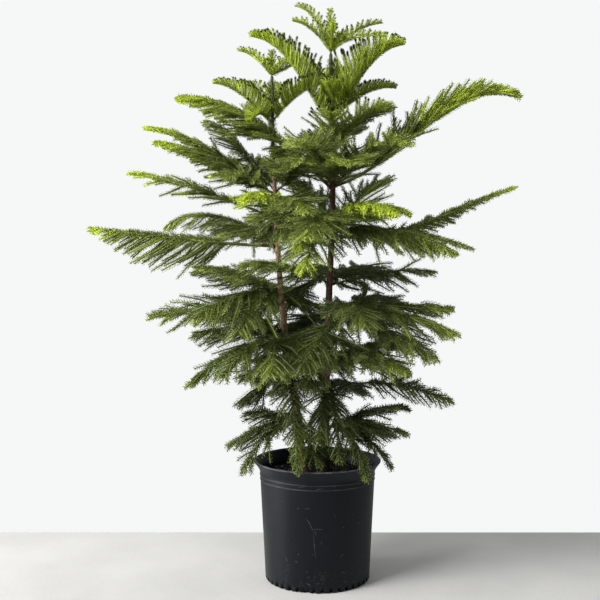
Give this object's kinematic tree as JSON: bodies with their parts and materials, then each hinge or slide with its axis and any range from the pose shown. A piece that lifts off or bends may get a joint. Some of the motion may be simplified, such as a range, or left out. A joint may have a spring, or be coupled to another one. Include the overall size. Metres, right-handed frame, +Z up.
{
  "type": "potted norfolk island pine",
  "caption": "Young Norfolk Island pine with twin slender stems in a black plastic nursery pot, its arms in whorls clad with soft awl-shaped needles.",
  "frame": {"origin": "centre of the pot's flat underside", "axes": "+Z up along the stems, -Y towards the viewer of the picture, +X to the viewer's right"},
  "size_m": [0.8767, 0.5678, 1.1571],
  "materials": {
    "pot": "scuffed matte black moulded plastic",
    "soil": "damp bark and peat mix with white perlite",
    "bark": "thin red-brown bark with pale leaf scars",
    "fresh_needles": "soft satin young needles",
    "green_needles": "satin green needles",
    "deep_needles": "satin dark green needles"
  },
  "bodies": {
    "root": {"pot": "pot", "soil": "soil", "right_stem": "bark", "left_stem": "bark", "right_whorl_1_crown_spray": "fresh_needles", "right_whorl_2_left_spray": "fresh_needles", "right_whorl_2_right_spray": "fresh_needles", "right_whorl_2_back_spray": "fresh_needles", "right_whorl_3_front_spray": "fresh_needles", "right_whorl_3_back_spray": "fresh_needles", "right_whorl_4_left_bough": "bark", "right_whorl_4_left_spray": "green_needles", "right_whorl_4_right_bough": "bark", "right_whorl_4_right_spray": "green_needles", "right_whorl_4_front_spray": "green_needles", "right_whorl_4_back_spray": "green_needles", "right_whorl_5_right_bough": "bark", "right_whorl_5_right_spray": "green_needles", "right_whorl_5_front_right_spray": "green_needles", "right_whorl_5_front_spray": "green_needles", "right_whorl_5_back_spray": "green_needles", "right_whorl_6_right_spray": "deep_needles", "right_whorl_6_left_spray": "deep_needles", "right_whorl_6_back_spray": "deep_needles", "right_whorl_7_right_spray": "green_needles", "right_whorl_7_back_spray": "green_needles", "right_whorl_8_front_right_spray": "green_needles", "right_whorl_8_front_spray": "green_needles", "right_whorl_8_back_spray": "green_needles", "right_whorl_9_right_bough": "bark", "right_whorl_9_right_spray": "deep_needles", "right_whorl_9_front_spray": "deep_needles", "right_whorl_9_back_spray": "deep_needles", "right_whorl_10_right_spray": "deep_needles", "right_whorl_10_over_rim_spray": "deep_needles", "left_whorl_1_crown_spray": "fresh_needles", "left_whorl_2_left_spray": "fresh_needles", "left_whorl_2_right_spray": "fresh_needles", "left_whorl_2_back_spray": "fresh_needles", "left_whorl_3_left_spray": "green_needles", "left_whorl_3_right_spray": "green_needles", "left_whorl_3_back_spray": "green_needles", "left_whorl_4_left_bough": "bark", "left_whorl_4_left_spray": "green_needles", "left_whorl_4_front_spray": "green_needles", "left_whorl_5_left_bough": "bark", "left_whorl_5_left_spray": "green_needles", "left_whorl_5_back_left_spray": "green_needles", "left_whorl_5_back_spray": "green_needles", "left_whorl_6_left_bough": "bark", "left_whorl_6_left_spray": "green_needles", "left_whorl_6_front_left_spray": "green_needles", "left_whorl_6_back_spray": "green_needles", "left_whorl_7_left_spray": "green_needles", "left_whorl_7_front_left_spray": "green_needles", "left_whorl_7_back_spray": "green_needles", "left_whorl_8_front_spray": "green_needles", "left_whorl_8_back_spray": "green_needles", "left_whorl_9_left_spray": "deep_needles", "left_whorl_9_back_spray": "deep_needles"}
  },
  "joints": []
}
